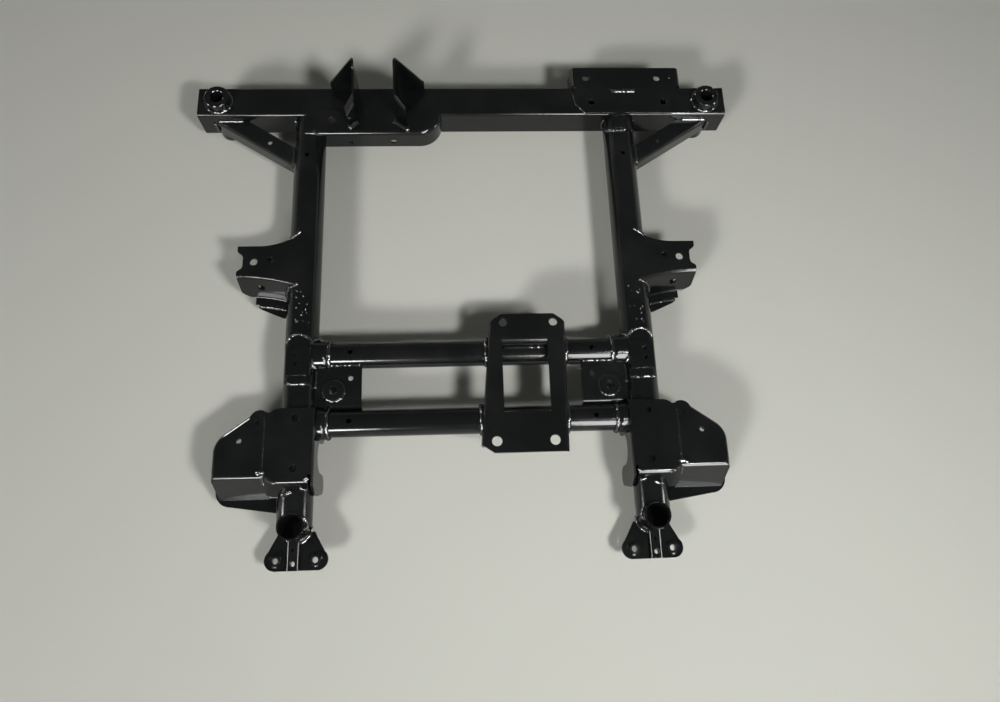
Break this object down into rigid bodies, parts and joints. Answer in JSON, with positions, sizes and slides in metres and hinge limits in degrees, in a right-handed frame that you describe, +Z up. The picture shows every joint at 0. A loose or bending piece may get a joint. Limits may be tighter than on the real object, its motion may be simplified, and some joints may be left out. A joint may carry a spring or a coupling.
{
  "type": "subframe",
  "caption": "Welded vehicle subframe: square cross beam, round side rails and cross tubes, with bent sheet brackets for arms, springs, a centre unit and body mounts.",
  "frame": {"origin": "on the floor, under the middle of the frame's outline", "axes": "+X to the right along the cross beam, +Y from the feet to the cross beam, +Z up"},
  "size_m": [0.834, 0.7674, 0.153],
  "materials": {
    "black_paint": "gloss",
    "weld_nut": "gloss"
  },
  "bodies": {
    "root": {"rear_beam": "black_paint", "left_mount_sleeve": "black_paint", "right_mount_sleeve": "black_paint", "left_rail": "black_paint", "right_rail": "black_paint", "rear_cross_tube": "black_paint", "front_cross_tube": "black_paint", "left_rear_collar": "black_paint", "right_rear_collar": "black_paint", "left_front_collar": "black_paint", "right_front_collar": "black_paint", "left_corner_brace": "black_paint", "right_corner_brace": "black_paint", "shelf_bracket": "black_paint", "shelf_outer_ear": "black_paint", "shelf_inner_ear": "black_paint", "beam_plate": "black_paint", "left_arm_upper": "black_paint", "right_arm_upper": "black_paint", "left_arm_lower": "black_paint", "right_arm_lower": "black_paint", "left_rail_pad": "black_paint", "right_rail_pad": "black_paint", "left_bush_plate": "black_paint", "right_bush_plate": "black_paint", "left_bush_sleeve": "black_paint", "right_bush_sleeve": "black_paint", "centre_plate": "black_paint", "left_saddle": "black_paint", "right_saddle": "black_paint", "left_spring_shell": "black_paint", "right_spring_shell": "black_paint", "left_post": "black_paint", "right_post": "black_paint", "left_foot_plate": "black_paint", "right_foot_plate": "black_paint", "left_foot_rib": "black_paint", "right_foot_rib": "black_paint", "foot_weld_nuts": "weld_nut"}
  },
  "joints": []
}
